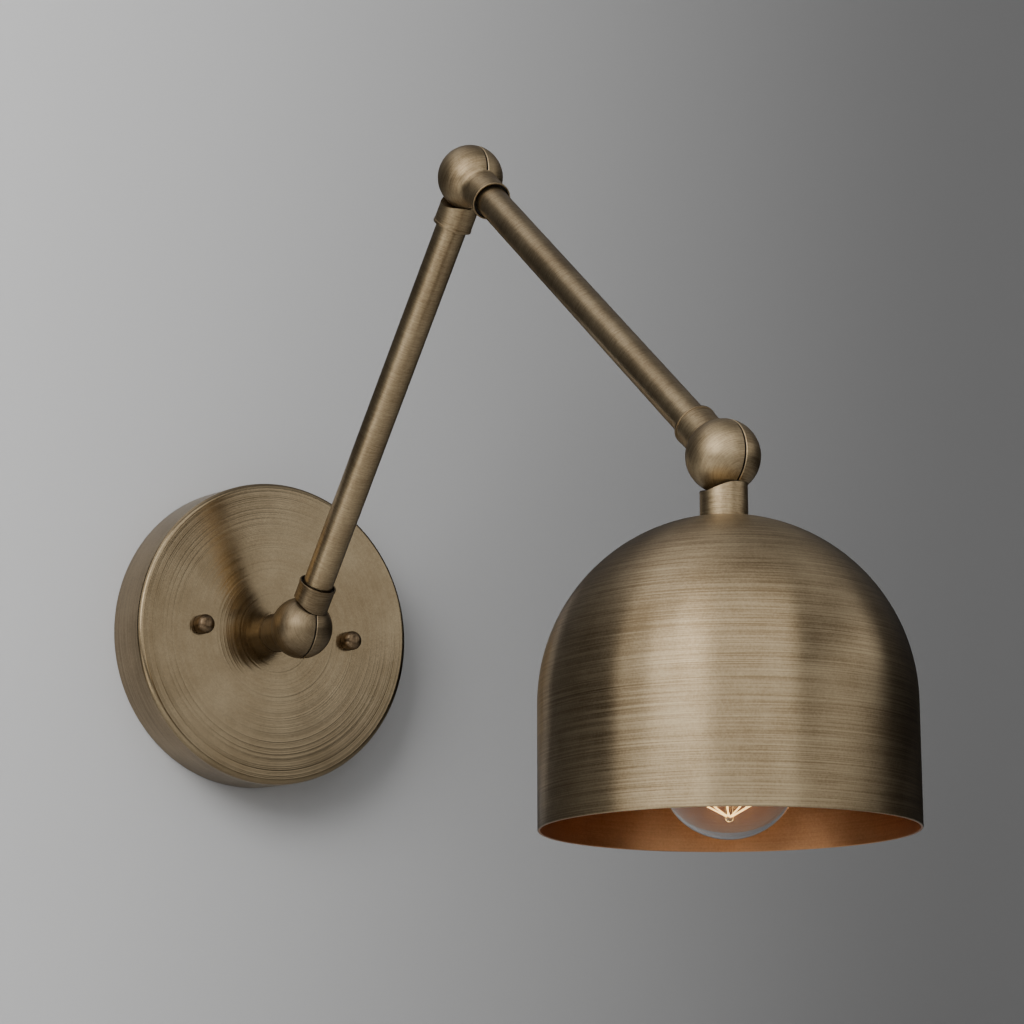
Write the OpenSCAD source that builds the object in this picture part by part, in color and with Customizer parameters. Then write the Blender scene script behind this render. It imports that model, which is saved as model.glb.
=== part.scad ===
// Articulating wall light: a wall plate, two tubes, three split-ball knuckles and a bell shade.
// Millimetres. The origin is the centre of the plate's back on the wall, +Z is up and the light
// stands out towards -Y. Every hinge axis lies along X, in the split plane's normal.

/* [Wall plate] */
// Outside diameter of the wall plate
canopy_d = 127; // [122:1:150]
// How far the plate's face stands off the wall
canopy_depth = 23.4; // [21:0.1:30]
// Metal thickness of the plate
canopy_wall = 1.2; // [0.8:0.1:1.6]
// Outside radius of the plate's rounded front edge
canopy_edge_r = 2.4; // [1.8:0.1:4]
// Distance between the two cap nuts
stud_spacing = 69.85; // [60:0.05:72]
// Diameter of a threaded stud
stud_d = 4.1; // [3.4:0.1:5]
// Diameter of a cap nut
cap_nut_d = 8; // [7:0.1:10]
// Height of a cap nut
cap_nut_h = 6; // [5:0.1:8]
// Rounding of a cap nut's face
cap_nut_edge_r = 1.6; // [0.8:0.1:2.4]
// Metal left at the closed end of a cap nut
cap_nut_top = 1.6; // [1.2:0.1:2.4]

/* [Wall fixing] */
// Distance between the two slots for the electrical box's screws
slot_spacing = 88.9; // [82:0.1:92]
// Width of a slot
slot_w = 5; // [4.4:0.1:6]
// Length of a slot from end to end
slot_l = 12; // [8:0.5:14]
// Width of both straps
bar_w = 18; // [15:0.5:22]
// Thickness of each strap
bar_t = 2; // [1.5:0.1:2.4]
// Metal between a slot or a stud and the strap's end
bar_end = 4.5; // [3:0.1:6]
// Bore of the eyelet that joins the straps
eyelet_bore = 7; // [5:0.1:8]
// Wall of the eyelet
eyelet_wall = 1.2; // [0.8:0.1:1.6]
// Height of the stud lock nuts
stud_nut_h = 3.2; // [2.4:0.1:4]
// Width across flats of the stud lock nuts
stud_nut_af = 8.7; // [7.5:0.1:10]
// Height of the earth screw above the plate's centre
ground_z = 22; // [18:0.5:28]
// Diameter of the earth screw
ground_d = 4; // [3:0.1:5]
// Diameter of the earth screw's flange
ground_flange_d = 9; // [7.4:0.1:10]
// Thickness of that flange
ground_flange_t = 1; // [0.6:0.1:1.4]
// Width of the earth screw's hexagon head across its corners
ground_head_d = 7.2; // [5.6:0.1:7.4]
// Height of the earth screw's head with its flange
ground_head_h = 3; // [2:0.1:4]

/* [Knuckles] */
// Diameter of the knuckle balls
ball_d = 25.4; // [24.6:0.1:28]
// Gap between the two halves of a ball
split_gap = 0.4; // [0.3:0.05:0.8]
// Bevel round the split edges
split_bevel = 0.25; // [0.1:0.05:0.4]
// Gap between a ball and the neck of the other half
ball_clear = 0.3; // [0.2:0.05:0.5]
// Length of a neck from the ball's centre to its end
neck_reach = 21; // [19:0.1:26]
// Diameter of the collars that hold the tubes
collar_d = 15.2; // [14.6:0.1:15.8]
// Diameter of the collar's end
collar_lip_d = 15.6; // [15.2:0.1:16]
// Length of the slightly wider collar end
collar_lip_l = 1.2; // [0.6:0.1:2]
// Diameter of the stem and the shade's neck
neck_d = 16.1; // [15.4:0.1:16.4]
// Fillet between a ball and its neck
neck_fillet = 1; // [0.5:0.1:2]
// Fillet between the elbow ball and the upper tube's collar
elbow_fillet = 4.6; // [2:0.1:5]
// Depth of the recess round a tube in the collar's end
collar_recess = 1.6; // [0.8:0.1:2.4]
// Wall left round that recess
collar_lip_wall = 0.6; // [0.4:0.05:0.8]
// Diameter of the hollow inside a ball
hollow_d = 18.6; // [17.6:0.1:19.4]
// Diameter of the boss round the clamp screw
boss_d = 9.6; // [9.2:0.1:10]
// Diameter of the passage for the leads through a neck
passage_d = 7.2; // [7:0.1:7.6]
// Distance of the passage's inner end from the ball's centre
passage_start = 6; // [5.4:0.1:7]
// Thickness of the ball's wall under a tube or nipple seat, past the clearance
seat_wall = 1.5; // [1.2:0.1:2.4]

/* [Knuckle screws] */
// Diameter of the clamp screws
clamp_d = 4; // [3.5:0.1:4.4]
// Diameter of the clamp screw's head
clamp_head_d = 6.4; // [5.8:0.1:6.8]
// Height of the clamp screw's head
clamp_head_h = 2.4; // [2:0.1:3]
// Depth of the clamp screw's drive slot
clamp_slot_h = 1; // [0.6:0.1:1.4]
// Width of the clamp screw's drive slot
clamp_slot_w = 1; // [0.6:0.1:1.4]
// Distance of the screw head's seat from the split plane
clamp_seat = 7; // [6:0.1:7.6]
// How far the clamp screw reaches into the other half
clamp_reach = 7.6; // [6:0.1:8.4]
// Depth of the tapped hole past the screw's end
clamp_tap = 1; // [0.4:0.1:1.4]
// Thickness of the spring washer
spring_washer_t = 0.9; // [0.6:0.1:1.2]
// Metal in front of the spring washer's slit
spring_washer_slit = 0.8; // [0.5:0.1:1.2]

/* [Arms] */
// Distance between the balls of the lower arm
lower_arm_l = 204; // [150:1:260]
// Distance between the balls of the upper arm
upper_arm_l = 215; // [150:1:260]
// Outside diameter of the tubes
tube_d = 12.3; // [11.6:0.1:12.6]
// Wall of the tubes
tube_wall = 1; // [0.8:0.1:1.4]
// Angle of the lower arm above the horizontal
lower_arm_rise = 53.9; // [40:0.1:70]
// Angle of the upper arm below the horizontal
upper_arm_drop = 39.05; // [20:0.05:42]
// Angle by which the shade leans out of plumb
shade_tilt = 3.4; // [0:0.1:10]

/* [Shade] */
// Outside diameter of the shade
shade_d = 124.8; // [110:0.2:140]
// Length of the straight skirt under the dome
skirt_l = 41.6; // [30:0.1:60]
// Metal thickness of the shade
shade_wall = 0.9; // [0.7:0.1:1.4]
// Thickness of the seat rings at the plate and the shade
seat_ring_t = 0.8; // [0.6:0.1:1.6]
// Diameter of the seat rings
seat_ring_d = 16.4; // [16:0.1:18]

/* [Nipples] */
// Outside diameter of the hollow nipples
nipple_d = 9.8; // [9.4:0.1:10.2]
// Bore of the hollow nipples
nipple_bore = 6.7; // [6.6:0.1:7]
// Diameter of the backing plate behind the wall plate
backing_d = 38; // [28:1:48]
// Thickness of the backing plate
backing_t = 1.6; // [1.2:0.1:2.4]
// Diameter of the lock washers
lock_washer_d = 15; // [13.6:0.1:17]
// Thickness of the lock washers
lock_washer_t = 1; // [0.8:0.1:1.4]
// Width across flats of the lock nuts
lock_nut_af = 14; // [13:0.1:16]
// Height of the lock nuts
lock_nut_h = 3.6; // [3:0.1:5]
// Thread that shows past the wall plate's lock nut
nipple_tail = 2; // [1:0.1:4]

/* [Lamp holder] */
// Diameter of the lamp holder's cap
cap_d = 35; // [34:0.1:38]
// Metal thickness of that cap
cap_wall = 1; // [0.8:0.1:1.4]
// Height of the cap's threaded hub
hub_h = 4.4; // [3.6:0.1:6]
// Diameter of the cap's threaded hub
hub_d = 14; // [13:0.1:16]
// Rounding of the cap's shoulder
cap_shoulder_r = 4; // [2:0.1:6]
// Height of the cap below its hub
cap_h = 13; // [11:0.1:16]
// Length of the lamp holder's insulating body
holder_l = 35; // [32:0.1:40]
// Wall of the lamp holder's body
holder_wall = 2.2; // [1.6:0.1:2.6]
// Thickness of the lamp holder's floor
holder_floor = 11; // [8:0.1:13]
// Wall of the lamp holder's screw shell
screw_shell_wall = 0.4; // [0.3:0.05:0.6]
// Length of the lamp holder's screw shell
screw_shell_l = 17; // [14:0.1:20]
// Height of the screw shell's end above the holder's floor
screw_shell_start = 5; // [4:0.1:6]
// Height of the centre contact
contact_h = 2.4; // [1.6:0.1:3]
// Diameter of the centre contact's foot
contact_d = 9; // [7.4:0.1:11]
// Thickness of that foot
contact_foot_t = 0.8; // [0.5:0.1:1.2]
// Diameter of the contact's button above its foot
contact_button_d = 7.2; // [6:0.1:7.4]
// Diameter of the button's face
contact_face_d = 4.5; // [3:0.1:6]

/* [Bulb] */
// Diameter of the glass globe
globe_d = 47.6; // [42:0.1:52]
// Length of the bulb from its tip to the globe's end
bulb_l = 82; // [78:0.1:88]
// Diameter of the glass neck
glass_neck_d = 24; // [21:0.1:24.8]
// Fillet between the globe and its neck
glass_fillet = 8; // [5:0.1:12]
// Thickness of the glass
glass_wall = 0.8; // [0.6:0.05:1.2]
// Diameter of the bulb's screw base
base_d = 26; // [25:0.1:26.4]
// Wall of the bulb's screw base
base_wall = 0.4; // [0.3:0.05:0.6]
// Length of the bulb's screw base
base_l = 19; // [17:0.1:22]
// Diameter of the hole in the end of the screw base
base_hole_d = 17.4; // [16:0.1:18]
// Height of the insulator between the base and the tip
insulator_h = 4; // [3:0.1:5]
// Diameter of the insulator where it meets the base
insulator_d = 18.4; // [18.2:0.1:22]
// Height of the contact tip
tip_h = 1.4; // [1:0.1:2]
// Diameter of the contact tip where it meets the insulator
tip_d = 9.4; // [8:0.1:10.4]
// Diameter of the contact tip's face
tip_face_d = 6.6; // [5:0.1:7.8]
// Gap between the glass and the end of the screw base
glass_gap = 1; // [0.5:0.1:2]
// Diameter of the glass rod that carries the filament
rod_d = 2.6; // [2:0.1:4]
// Diameter of the glass foot at the base of that rod
foot_d = 8; // [6:0.1:10]
// Length of that glass foot
foot_l = 14; // [10:0.1:20]
// Diameter of the foot's flare
flare_d = 12; // [10.2:0.1:16]
// Length of that flare
flare_l = 7; // [4:0.1:9]
// Distance of the lower support ring from the globe's end
cage_end = 7; // [6:0.1:12]
// Height of the filament's cage
cage_h = 30; // [22:0.1:34]
// Radius of the cage at its top
cage_top_r = 8; // [6:0.1:9]
// Radius of the cage at its foot
cage_foot_r = 7; // [5:0.1:9]
// How far a support wire leans back from its glass bead
support_lean = 2.4; // [1:0.1:4]
// Number of strands in the filament's cage
cage_strands = 8; // [6:2:12]
// Diameter of the filament
filament_d = 0.7; // [0.5:0.05:0.9]
// Diameter of the beads that hold the filament at its turns
bead_d = 1.2; // [1:0.1:1.6]
// Diameter of the support wires
support_d = 0.5; // [0.4:0.05:0.8]
// Diameter of the glass beads that carry the support wires
hub_bead_d = 4.2; // [3.4:0.1:5]

/* [Leads] */
// Outside diameter of an insulated lead
lead_d = 1.7; // [1.4:0.1:1.8]
// Distance of the leads from the split plane
lead_side = 2; // [1.6:0.1:2.1]
// Distance between the two leads
lead_pitch = 2.2; // [2:0.1:2.3]
// Length of the lead ends behind the wall plate
lead_tail = 30; // [15:1:40]

/* [Fits] */
// Clearance on the radius where a thread is screwed in
thread_clear = 0.04; // [0.02:0.01:0.08]
// Clearance on the radius where a piece is pushed in
seat_clear = 0.03; // [0.02:0.01:0.08]
// Clearance on the radius where a piece turns on a screw
run_clear = 0.05; // [0.03:0.01:0.09]
// Clearance on the radius where a screw or nipple passes a hole
pass_clear = 0.25; // [0.1:0.05:0.4]

/* [Hidden] */
$fn = 64;
brass = [0.55, 0.47, 0.35];
dark_brass = [0.36, 0.28, 0.20];
steel = [0.62, 0.62, 0.60];
ball_r = ball_d / 2;
clear_r = ball_r + ball_clear;
seat_z = clear_r + seat_wall;
through = 4 * ball_d;
// Overshoot of a hollow past its open end
over = 1;
// Overshoot of the ring that cuts the bevel, on both of its ends
bevel_over = 0.1;
// Turn about X that lays local +Z along the stem, each arm and the shade's axis
stem_turn = -90;
lower_turn = 90 - lower_arm_rise;
upper_turn = 90 + upper_arm_drop;
shade_turn = 180 - shade_tilt;
// Ball centres
stem_l = neck_reach + seat_ring_t;
wall_ball = [0, -canopy_depth - stem_l, 0];
elbow_ball = wall_ball + lower_arm_l * [0, -sin(lower_turn), cos(lower_turn)];
head_ball = elbow_ball + upper_arm_l * [0, -sin(upper_turn), cos(upper_turn)];
// Places along the stem, from the wall ball towards the wall
backing_z = stem_l + canopy_wall;
canopy_washer_z = backing_z + backing_t;
canopy_nut_z = canopy_washer_z + lock_washer_t;
canopy_nipple_end = canopy_nut_z + lock_nut_h + nipple_tail;
// Places along the shade's axis, from the head ball downwards
shade_r = shade_d / 2;
crown_r = seat_ring_d / 2;
shade_top = neck_reach + seat_ring_t;
dome_z = shade_top + sqrt(pow(shade_r, 2) - pow(crown_r, 2));
shade_end = dome_z + skirt_l;
shade_washer_z = shade_top + shade_wall;
shade_nut_z = shade_washer_z + lock_washer_t;
hub_z = shade_nut_z + lock_nut_h;
cap_z = hub_z + hub_h;
shade_nipple_end = cap_z;
holder_z = cap_z + cap_wall;
holder_r = cap_d / 2 - cap_wall - seat_clear;
floor_z = holder_z + holder_floor;
holder_end = holder_z + holder_l;
tip_z = floor_z + contact_h;
insulator_z = tip_z + tip_h;
base_z = insulator_z + insulator_h;
glass_z = base_z + base_wall + glass_gap;
globe_z = tip_z + bulb_l - globe_d / 2;
cage_foot_z = tip_z + bulb_l - cage_end;
cage_top_z = cage_foot_z - cage_h;
// Places along Y behind the wall plate
bar_front = -2 * bar_t;
bar_half = slot_spacing / 2 + slot_l / 2 + bar_end;
stud_half = stud_spacing / 2 + stud_d / 2 + bar_end;
stud_end = -canopy_depth - cap_nut_h + cap_nut_top;

// Carry what stands on a ball to its place, with local +Z along the named axis
module on_wall_ball(turn) {
  translate(wall_ball) rotate([turn, 0, 0]) children();
}
module on_elbow_ball(turn) {
  translate(elbow_ball) rotate([turn, 0, 0]) children();
}
module on_head_ball(turn) {
  translate(head_ball) rotate([turn, 0, 0]) children();
}

// Plain turned shapes
module ring(outer_d, inner_d, height) {
  difference() {
    cylinder(d = outer_d, h = height);
    translate([0, 0, -height]) cylinder(d = inner_d, h = 3 * height);
  }
}
module hexagon_nut(across_flats, bore_d, height) {
  difference() {
    cylinder(d = across_flats / cos(30), h = height, $fn = 6);
    translate([0, 0, -height]) cylinder(d = bore_d, h = 3 * height);
  }
}
// Spring washer: a ring with a slit across one side
module split_washer(outer_d, inner_d, height, slit) {
  difference() {
    ring(outer_d, inner_d, height);
    translate([0, -slit / 2, -height]) cube([outer_d, slit, 3 * height]);
  }
}
// Outline of a ball that runs into a neck along +Y with a fillet, right of the axis
module ball_and_neck(radius, neck_r, fillet, reach) {
  fillet_x = neck_r + fillet;
  fillet_y = sqrt(pow(radius + fillet, 2) - pow(fillet_x, 2));
  intersection() {
    circle(r = radius);
    translate([0, -radius]) square([radius, 2 * radius]);
  }
  square([neck_r, reach]);
  difference() {
    polygon([[0, 0], [fillet_x, fillet_y], [0, fillet_y]]);
    translate([fillet_x, fillet_y]) circle(r = fillet);
  }
}

// The left half of a split ball with its neck along +Z
module knuckle_blank(neck_diameter, fillet) {
  difference() {
    rotate_extrude() ball_and_neck(ball_r, neck_diameter / 2, fillet, neck_reach);
    // Room for the other half, which turns about X
    translate([-split_gap / 2, 0, 0]) rotate([0, 90, 0]) cylinder(r = clear_r, h = through);
    // Bevel round the split edge, cut by a ring that starts in the gap and stops at the neck
    difference() {
      translate([-split_gap / 2, 0, 0]) rotate([0, -90, 0]) rotate_extrude()
        polygon([[ball_r - split_bevel - bevel_over, -bevel_over],
          [ball_r + bevel_over, -bevel_over], [ball_r + bevel_over, split_bevel + bevel_over]]);
      cylinder(r = neck_diameter / 2 + fillet, h = through);
    }
    // Hollow round the boss of the clamp screw
    difference() {
      sphere(d = hollow_d);
      rotate([0, 90, 0]) cylinder(d = boss_d, h = through, center = true);
    }
    // Passage for the leads
    translate([0, 0, passage_start]) cylinder(d = passage_d, h = neck_reach);
  }
}
// The left half is tapped for the clamp screw
module inner_half(neck_diameter, fillet) {
  difference() {
    knuckle_blank(neck_diameter, fillet);
    translate([-clamp_reach - clamp_tap, 0, 0]) rotate([0, 90, 0])
      cylinder(r = clamp_d / 2 + thread_clear, h = through);
  }
}
// The right half mirrors it and turns on the screw, whose head lies in a counterbore
module outer_half(neck_diameter, fillet) {
  mirror([1, 0, 0]) difference() {
    knuckle_blank(neck_diameter, fillet);
    rotate([0, -90, 0]) cylinder(r = clamp_d / 2 + run_clear, h = through);
    translate([-clamp_seat, 0, 0]) rotate([0, -90, 0])
      cylinder(r = clamp_head_d / 2 + pass_clear, h = through);
  }
}
// Slightly wider end of a collar
module collar_lip() {
  translate([0, 0, neck_reach - collar_lip_l]) cylinder(d = collar_lip_d, h = collar_lip_l);
}
// Seat of a tube in a collar, with the recess round the tube at the collar's end
module tube_seat() {
  translate([0, 0, seat_z]) cylinder(r = tube_d / 2 + seat_clear, h = neck_reach);
  translate([0, 0, neck_reach - collar_recess])
    cylinder(d = collar_lip_d - 2 * collar_lip_wall, h = neck_reach);
}
module nipple_seat() {
  translate([0, 0, seat_z]) cylinder(r = nipple_d / 2 + thread_clear, h = neck_reach);
}
module inner_collar_half(fillet) {
  color(brass) difference() {
    union() {
      inner_half(collar_d, fillet);
      collar_lip();
    }
    tube_seat();
  }
}
module outer_collar_half(fillet) {
  color(brass) difference() {
    union() {
      outer_half(collar_d, fillet);
      collar_lip();
    }
    tube_seat();
  }
}
// Clamp screw along X, its head on the right
module clamp_screw() {
  head_x = clamp_seat + spring_washer_t;
  color(dark_brass) difference() {
    union() {
      translate([-clamp_reach, 0, 0]) rotate([0, 90, 0])
        cylinder(d = clamp_d, h = clamp_reach + head_x + clamp_head_h / 2);
      translate([head_x, 0, 0]) rotate([0, 90, 0]) cylinder(d = clamp_head_d, h = clamp_head_h);
    }
    translate([head_x + clamp_head_h - clamp_slot_h, -ball_r, -clamp_slot_w / 2])
      cube([ball_r, ball_d, clamp_slot_w]);
  }
}
module clamp_washer() {
  color(steel) translate([clamp_seat, 0, 0]) rotate([0, 90, 0])
    split_washer(clamp_head_d, clamp_d + 2 * run_clear, spring_washer_t, spring_washer_slit);
}
// Thin washer between the bosses of the two halves
module friction_washer() {
  color("ivory") translate([-split_gap / 2, 0, 0]) rotate([0, 90, 0])
    ring(boss_d, clamp_d + 2 * run_clear, split_gap);
}
// A pair of leads along local Z on one side of the split plane
module lead_pair(side, start, end) {
  for (row = [-1, 1]) {
    color(row < 0 ? "dimgray" : "whitesmoke")
      translate([side * lead_side, row * lead_pitch / 2, start]) cylinder(d = lead_d, h = end - start);
  }
}
module nipple(start, end) {
  color("goldenrod") translate([0, 0, start]) ring(nipple_d, nipple_bore, end - start);
}
module lock_washer(place) {
  color(steel) translate([0, 0, place])
    split_washer(lock_washer_d, nipple_d + 2 * thread_clear, lock_washer_t, spring_washer_slit);
}
module lock_nut(place) {
  color("goldenrod") translate([0, 0, place])
    hexagon_nut(lock_nut_af, nipple_d + 2 * thread_clear, lock_nut_h);
}
module seat_ring(place) {
  color(brass) translate([0, 0, place])
    ring(seat_ring_d, nipple_d + 2 * pass_clear, seat_ring_t);
}

// Wall plate and its fixing
module pan_outline(radius, depth, edge_r) {
  square([radius - edge_r, depth]);
  square([radius, depth - edge_r]);
  translate([radius - edge_r, depth - edge_r]) circle(r = edge_r);
}
module canopy() {
  color(brass) rotate([90, 0, 0]) difference() {
    rotate_extrude($fn = 128) difference() {
      pan_outline(canopy_d / 2, canopy_depth, canopy_edge_r);
      translate([0, -over]) pan_outline(canopy_d / 2 - canopy_wall, canopy_depth - canopy_wall + over,
        canopy_edge_r - canopy_wall);
    }
    cylinder(r = nipple_d / 2 + pass_clear, h = 2 * canopy_depth);
    for (x = [-1, 1] * stud_spacing / 2) {
      translate([x, 0, 0]) cylinder(r = stud_d / 2 + pass_clear, h = 2 * canopy_depth);
    }
  }
}
module cap_nut() {
  difference() {
    rotate_extrude() pan_outline(cap_nut_d / 2, cap_nut_h, cap_nut_edge_r);
    translate([0, 0, -cap_nut_top]) cylinder(r = stud_d / 2 + thread_clear, h = cap_nut_h);
  }
}
module cap_nuts() {
  color(dark_brass) for (x = [-1, 1] * stud_spacing / 2) {
    translate([x, -canopy_depth, 0]) rotate([90, 0, 0]) cap_nut();
  }
}
// Strap along local X with round ends
module strap(half_l) {
  translate([-half_l + bar_w / 2, -bar_w / 2, 0]) cube([2 * half_l - bar_w, bar_w, bar_t]);
  for (x = [-1, 1] * (half_l - bar_w / 2)) {
    translate([x, 0, 0]) cylinder(d = bar_w, h = bar_t);
  }
}
module slot_cut() {
  for (x = [-1, 1] * (slot_l - slot_w) / 2) {
    translate([x, 0, -bar_t]) cylinder(d = slot_w, h = 3 * bar_t);
  }
  translate([-(slot_l - slot_w) / 2, -slot_w / 2, -bar_t]) cube([slot_l - slot_w, slot_w, 3 * bar_t]);
}
module eyelet_hole() {
  translate([0, 0, -bar_t]) cylinder(r = eyelet_bore / 2 + eyelet_wall + seat_clear, h = 3 * bar_t);
}
module wall_bar() {
  color(steel) rotate([90, 90, 0]) difference() {
    strap(bar_half);
    for (x = [-1, 1] * slot_spacing / 2) {
      translate([x, 0, 0]) slot_cut();
    }
    eyelet_hole();
    translate([-ground_z, 0, -bar_t]) cylinder(r = ground_d / 2 + thread_clear, h = 3 * bar_t);
  }
}
module stud_bar() {
  color(steel) translate([0, -bar_t, 0]) rotate([90, 0, 0]) difference() {
    strap(stud_half);
    eyelet_hole();
    for (x = [-1, 1] * stud_spacing / 2) {
      translate([x, 0, -bar_t]) cylinder(r = stud_d / 2 + thread_clear, h = 3 * bar_t);
    }
  }
}
module bar_eyelet() {
  outer_d = eyelet_bore + 2 * eyelet_wall;
  color("goldenrod") rotate([90, 0, 0]) difference() {
    union() {
      cylinder(d = outer_d, h = 2 * bar_t);
      translate([0, 0, 2 * bar_t]) cylinder(d = outer_d + 2 * eyelet_wall, h = eyelet_wall);
    }
    translate([0, 0, -bar_t]) cylinder(d = eyelet_bore, h = 5 * bar_t);
  }
}
module stud_rods() {
  color(steel) for (x = [-1, 1] * stud_spacing / 2) {
    translate([x, -bar_t, 0]) rotate([90, 0, 0]) cylinder(d = stud_d, h = -bar_t - stud_end);
  }
}
module stud_nuts() {
  color(steel) for (x = [-1, 1] * stud_spacing / 2) {
    translate([x, bar_front, 0]) rotate([90, 0, 0])
      hexagon_nut(stud_nut_af, stud_d + 2 * thread_clear, stud_nut_h);
  }
}
module ground_screw() {
  color("seagreen") translate([0, 0, ground_z]) rotate([90, 0, 0]) {
    cylinder(d = ground_d, h = bar_t + ground_head_h);
    translate([0, 0, bar_t]) cylinder(d = ground_flange_d, h = ground_flange_t);
    translate([0, 0, bar_t]) cylinder(d = ground_head_d, h = ground_head_h, $fn = 6);
  }
}
module canopy_seat_ring() {
  on_wall_ball(stem_turn) seat_ring(neck_reach);
}
module canopy_nipple() {
  on_wall_ball(stem_turn) nipple(seat_z, canopy_nipple_end);
}
module canopy_backing_plate() {
  color(steel) on_wall_ball(stem_turn) translate([0, 0, backing_z])
    ring(backing_d, nipple_d + 2 * pass_clear, backing_t);
}
module canopy_lock_washer() {
  on_wall_ball(stem_turn) lock_washer(canopy_washer_z);
}
module canopy_lock_nut() {
  on_wall_ball(stem_turn) lock_nut(canopy_nut_z);
}
// The left half of the wall knuckle stands on the plate
module wall_knuckle_inner_half() {
  color(brass) on_wall_ball(stem_turn) difference() {
    inner_half(neck_d, neck_fillet);
    nipple_seat();
  }
}
module wall_knuckle_screw() {
  on_wall_ball(0) clamp_screw();
}
module wall_knuckle_spring_washer() {
  on_wall_ball(0) clamp_washer();
}
// Leads out of the knuckle and through the nipple, then aside behind the plate
module wall_leads() {
  bend_z = canopy_nipple_end + lead_d;
  on_wall_ball(stem_turn) {
    lead_pair(-1, passage_start, bend_z);
    for (row = [-1, 1]) {
      color(row < 0 ? "dimgray" : "whitesmoke")
        translate([-lead_side, row * lead_pitch / 2, bend_z]) {
          sphere(d = lead_d);
          rotate([-90 * row, 0, 0]) cylinder(d = lead_d, h = lead_tail);
        }
    }
  }
}

// Lower arm
module wall_knuckle_outer_half() {
  on_wall_ball(lower_turn) outer_collar_half(neck_fillet);
}
module wall_friction_washer() {
  on_wall_ball(0) friction_washer();
}
module arm_tube(length) {
  color(brass) translate([0, 0, seat_z]) ring(tube_d, tube_d - 2 * tube_wall, length - 2 * seat_z);
}
module lower_tube() {
  on_wall_ball(lower_turn) arm_tube(lower_arm_l);
}
module elbow_outer_half() {
  on_elbow_ball(lower_turn + 180) outer_collar_half(neck_fillet);
}
module elbow_friction_washer() {
  on_elbow_ball(0) friction_washer();
}
module lower_leads() {
  on_wall_ball(lower_turn) lead_pair(1, passage_start, lower_arm_l - passage_start);
}

// Upper arm
module elbow_inner_half() {
  on_elbow_ball(upper_turn) inner_collar_half(elbow_fillet);
}
module elbow_screw() {
  on_elbow_ball(0) clamp_screw();
}
module elbow_spring_washer() {
  on_elbow_ball(0) clamp_washer();
}
module upper_tube() {
  on_elbow_ball(upper_turn) arm_tube(upper_arm_l);
}
module head_knuckle_inner_half() {
  on_head_ball(upper_turn + 180) inner_collar_half(neck_fillet);
}
module head_knuckle_screw() {
  on_head_ball(0) clamp_screw();
}
module head_knuckle_spring_washer() {
  on_head_ball(0) clamp_washer();
}
module upper_leads() {
  on_elbow_ball(upper_turn) lead_pair(-1, passage_start, upper_arm_l - passage_start);
}

// Lamp head, along local Z from the head ball
module head_knuckle_outer_half() {
  color(brass) on_head_ball(shade_turn) difference() {
    outer_half(neck_d, neck_fillet);
    nipple_seat();
  }
}
module head_friction_washer() {
  on_head_ball(0) friction_washer();
}
module shade_seat_ring() {
  on_head_ball(shade_turn) seat_ring(neck_reach);
}
// Outline of the bell: a half circle over a straight skirt, flat at the crown
module bell_outline(radius, top, end) {
  intersection() {
    translate([0, dome_z]) circle(r = radius);
    translate([0, top]) square([radius, dome_z - top]);
  }
  translate([0, dome_z]) square([radius, end - dome_z]);
}
module shade() {
  color(brass) on_head_ball(shade_turn) difference() {
    rotate_extrude($fn = 128) difference() {
      bell_outline(shade_r, shade_top, shade_end);
      bell_outline(shade_r - shade_wall, shade_top + shade_wall, shade_end + over);
    }
    cylinder(r = nipple_d / 2 + pass_clear, h = 2 * shade_top);
  }
}
module shade_nipple() {
  on_head_ball(shade_turn) nipple(seat_z, shade_nipple_end);
}
module shade_lock_washer() {
  on_head_ball(shade_turn) lock_washer(shade_washer_z);
}
module shade_lock_nut() {
  on_head_ball(shade_turn) lock_nut(shade_nut_z);
}
// Cap of the lamp holder: a hub on a cup with a round shoulder, open below
module socket_cap() {
  cup_r = cap_d / 2;
  color("goldenrod") on_head_ball(shade_turn) difference() {
    union() {
      translate([0, 0, hub_z]) cylinder(d = hub_d, h = hub_h);
      translate([0, 0, cap_z + cap_h]) mirror([0, 0, 1])
        rotate_extrude() pan_outline(cup_r, cap_h, cap_shoulder_r);
    }
    translate([0, 0, cap_z + cap_h + over]) mirror([0, 0, 1])
      rotate_extrude() pan_outline(cup_r - cap_wall, cap_h - cap_wall + over, cap_shoulder_r - cap_wall);
    cylinder(r = nipple_d / 2 + thread_clear, h = 2 * cap_z);
  }
}
module socket_body() {
  shoulder_r = cap_shoulder_r - cap_wall;
  color("ivory") on_head_ball(shade_turn) difference() {
    translate([0, 0, holder_end]) mirror([0, 0, 1])
      rotate_extrude() pan_outline(holder_r, holder_l, shoulder_r);
    translate([0, 0, floor_z]) cylinder(r = holder_r - holder_wall, h = holder_l);
    for (row = [-1, 1]) {
      translate([lead_side, row * lead_pitch / 2, 0])
        cylinder(r = lead_d / 2 + thread_clear, h = holder_z + holder_floor / 2);
    }
  }
}
module socket_screw_shell() {
  inner_r = base_d / 2 + pass_clear;
  outer_r = holder_r - holder_wall - seat_clear;
  shell_z = floor_z + screw_shell_start;
  color("goldenrod") on_head_ball(shade_turn) {
    translate([0, 0, shell_z]) ring(2 * (inner_r + screw_shell_wall), 2 * inner_r, screw_shell_l);
    translate([0, 0, shell_z]) ring(2 * outer_r, 2 * inner_r, screw_shell_wall);
    translate([0, 0, shell_z + screw_shell_l - screw_shell_wall])
      ring(2 * outer_r, 2 * inner_r, screw_shell_wall);
  }
}
module socket_contact() {
  color("goldenrod") on_head_ball(shade_turn) translate([0, 0, floor_z]) {
    cylinder(d = contact_d, h = contact_foot_t);
    cylinder(d1 = contact_button_d, d2 = contact_face_d, h = contact_h);
  }
}
module head_leads() {
  on_head_ball(shade_turn) lead_pair(1, passage_start, holder_z + holder_floor / 2);
}

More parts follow.
